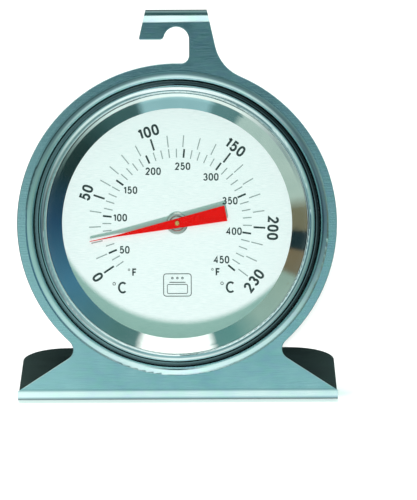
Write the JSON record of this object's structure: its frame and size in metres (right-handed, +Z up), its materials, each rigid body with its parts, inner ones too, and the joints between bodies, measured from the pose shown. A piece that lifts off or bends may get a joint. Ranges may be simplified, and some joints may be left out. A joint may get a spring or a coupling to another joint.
{
  "type": "dial oven thermometer",
  "caption": "Round dial oven thermometer on a folded steel stand with a hanging hook; a bimetal coil turns its red pointer over Celsius and Fahrenheit scales.",
  "frame": {"origin": "on the resting surface, under the middle of the whole object's box", "axes": "+X to the right as seen from the front, dial facing -Y and leaning back 15 degrees, +Z up"},
  "size_m": [0.06, 0.035, 0.0708],
  "materials": {
    "brushed_stainless": "brushed, satin",
    "bright_stainless": "polished",
    "drawn_stainless": "as drawn, satin",
    "clear_glass": "clear, polished",
    "gasket_fibre": "matt",
    "polished_aluminium": "polished",
    "printed_dial": "fine brushed, clear lacquer, dark print",
    "nickel_bush": "nickel plated",
    "brass": "turned",
    "bridge_steel": "plated, satin",
    "bimetal_strip": "rolled strip, straw tint",
    "red_paint": "gloss paint"
  },
  "bodies": {
    "case": {"stand_frame": "brushed_stainless", "bezel_ring": "bright_stainless", "case_can": "drawn_stainless", "glass_lens": "clear_glass", "lens_gasket": "gasket_fibre", "reflector_ring": "polished_aluminium", "dial_plate": "printed_dial", "front_bush": "nickel_bush", "rear_bush": "brass", "movement_bridge": "bridge_steel", "coil_rivet": "brass", "bimetal_coil": "bimetal_strip"},
    "spindle": {"arbor": "brass", "pointer": "red_paint", "coil_collet": "brass", "thrust_washer": "brass"}
  },
  "joints": [
    {"name": "pointer_turn", "type": "hinge", "parent": "case", "child": "spindle", "pos_m": [0, -0.0017, 0.03053], "axis": [0, 0.9659, -0.2588], "range_deg": [-22.4, 228.5], "stiffness_Nm_per_rad": 0.0002, "deforming": ["bimetal_coil"]}
  ]
}
